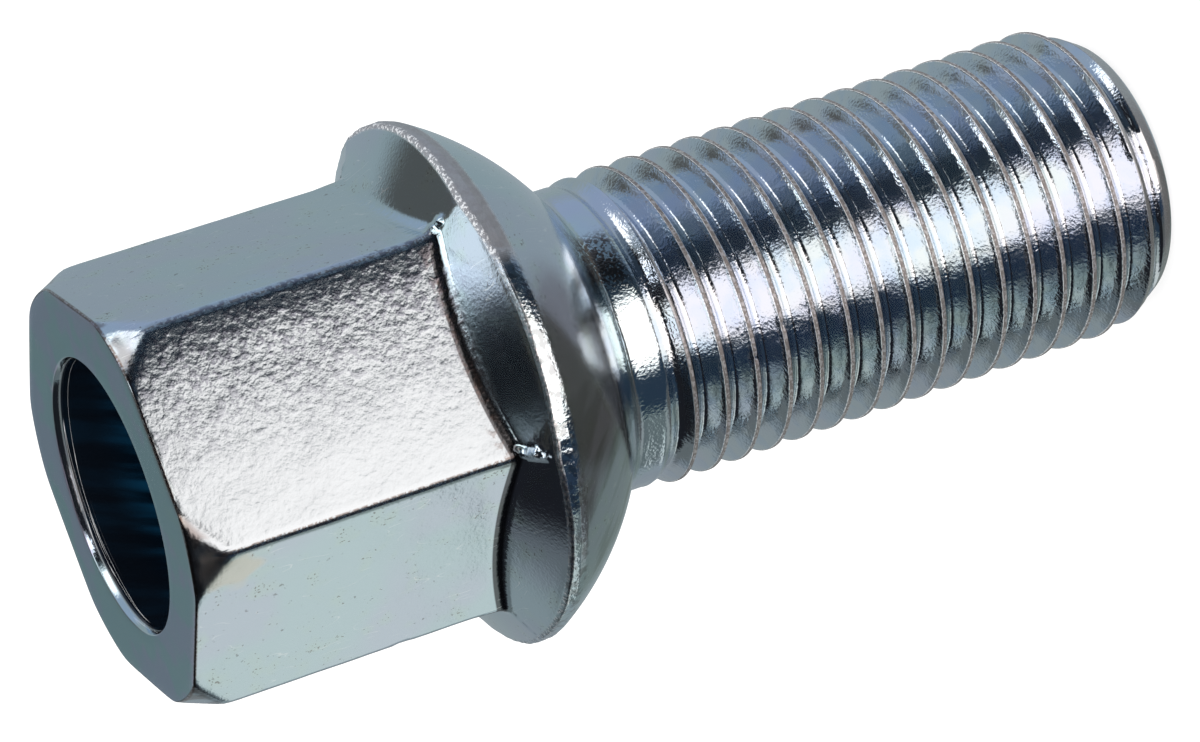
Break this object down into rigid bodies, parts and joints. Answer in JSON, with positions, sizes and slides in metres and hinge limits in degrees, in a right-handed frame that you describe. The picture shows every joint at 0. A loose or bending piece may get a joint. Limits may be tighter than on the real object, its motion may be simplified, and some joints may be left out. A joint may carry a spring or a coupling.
{
  "type": "wheel bolt",
  "caption": "Wheel bolt: hexagon head with a blind round recess, collar with a spherical seat, smooth neck and a fine metric thread, zinc plated.",
  "frame": {"origin": "middle of the thread end's flat face, on the bolt's axis", "axes": "+Z along the axis from the thread end to the head; two corners of the hexagon lie along +X and -X, and two flats face +Y and -Y"},
  "size_m": [0.023, 0.023, 0.048],
  "materials": {
    "zinc_plated_steel": "bright zinc plating with a blue-grey passivation, smooth on the seat and thread, pitted on the flats"
  },
  "bodies": {
    "root": {"wheel_bolt": "zinc_plated_steel"}
  },
  "joints": []
}
